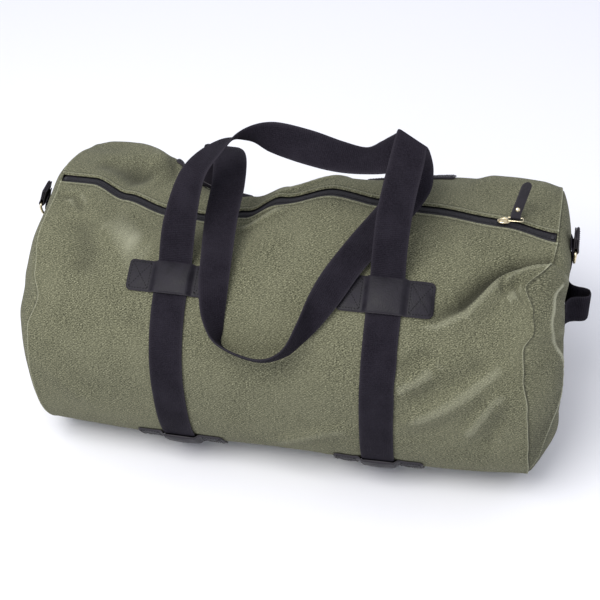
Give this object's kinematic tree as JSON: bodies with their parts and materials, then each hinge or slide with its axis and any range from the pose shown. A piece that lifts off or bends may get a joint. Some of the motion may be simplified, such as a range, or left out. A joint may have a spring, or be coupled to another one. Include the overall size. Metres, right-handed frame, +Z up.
{
  "type": "duffel bag",
  "caption": "Soft canvas duffel bag, zipped along its top, with webbing carry handles under leather keepers, webbing bands, end grab handles and brass D-rings.",
  "frame": {"origin": "middle of the whole bag's box in plan, at floor height under the webbing bands", "axes": "+X along the bag towards the end where the closed zip's slider sits, +Z up, -Y towards the front, the side the rear handle droops over"},
  "size_m": [0.6824, 0.3819, 0.4147],
  "materials": {
    "canvas": "washed heavy cotton canvas, grey-olive, matt",
    "binding": "woven binding tape, black, matt",
    "webbing": "heavy cotton webbing, near black, matt",
    "leather": "smooth black leather with a soft sheen",
    "zip_tape": "woven zip tape, black, matt",
    "coil": "nylon coil, black, satin",
    "brass": "pale polished brass"
  },
  "bodies": {
    "bag": {"main_panel": "canvas", "end_panel_left": "canvas", "end_panel_right": "canvas", "seam_binding_left": "binding", "seam_binding_right": "binding", "zip_tape_front": "zip_tape", "zip_tape_rear": "zip_tape", "zip_coil_front": "coil", "zip_coil_rear": "coil", "zip_stop_left": "coil", "zip_stop_right": "coil", "ring_tab_left": "leather", "ring_tab_right": "leather", "upper_keeper_front_left": "leather", "upper_keeper_rear_left": "leather", "lower_keeper_front_left": "leather", "lower_keeper_rear_left": "leather", "webbing_band_left": "webbing", "end_strip_left": "webbing", "grab_handle_left": "webbing", "upper_keeper_front_right": "leather", "upper_keeper_rear_right": "leather", "lower_keeper_front_right": "leather", "lower_keeper_rear_right": "leather", "webbing_band_right": "webbing", "end_strip_right": "webbing", "grab_handle_right": "webbing"},
    "front_handle": {"front_handle": "webbing"},
    "rear_handle": {"rear_handle": "webbing"},
    "slider": {"zip_slider": "brass"},
    "pull": {"zip_pull": "brass"},
    "tab": {"pull_tab": "leather", "pull_rivet": "brass"},
    "ring_left": {"d_ring_left": "brass"},
    "ring_right": {"d_ring_right": "brass"}
  },
  "joints": [
    {"name": "front_handle_swing", "type": "hinge", "parent": "bag", "child": "front_handle", "pos_m": [0, -0.086, 0.27459], "axis": [1, 0, 0], "range_deg": [0, 120]},
    {"name": "rear_handle_swing", "type": "hinge", "parent": "bag", "child": "rear_handle", "pos_m": [0, 0.102, 0.27459], "axis": [-1, 0, 0], "range_deg": [0, 10]},
    {"name": "zip_slide", "type": "slide", "parent": "bag", "child": "slider", "axis": [-0.9997, 0.025, 0], "range_m": [0, 0.48]},
    {"name": "pull_swing", "type": "hinge", "parent": "slider", "child": "pull", "pos_m": [0.2366, 0.01018, 0.2869], "axis": [0, -1, 0], "range_deg": [0, 90]},
    {"name": "tab_swing", "type": "hinge", "parent": "pull", "child": "tab", "pos_m": [0.2455, 0.01337, 0.2881], "axis": [1, 0, 0], "range_deg": [-30, 60]},
    {"name": "d_ring_left_swing", "type": "hinge", "parent": "bag", "child": "ring_left", "pos_m": [-0.31483, 0.018, 0.251], "axis": [0, 1, 0], "range_deg": [0, 130]},
    {"name": "d_ring_right_swing", "type": "hinge", "parent": "bag", "child": "ring_right", "pos_m": [0.31483, 0.018, 0.251], "axis": [0, -1, 0], "range_deg": [0, 130]}
  ]
}
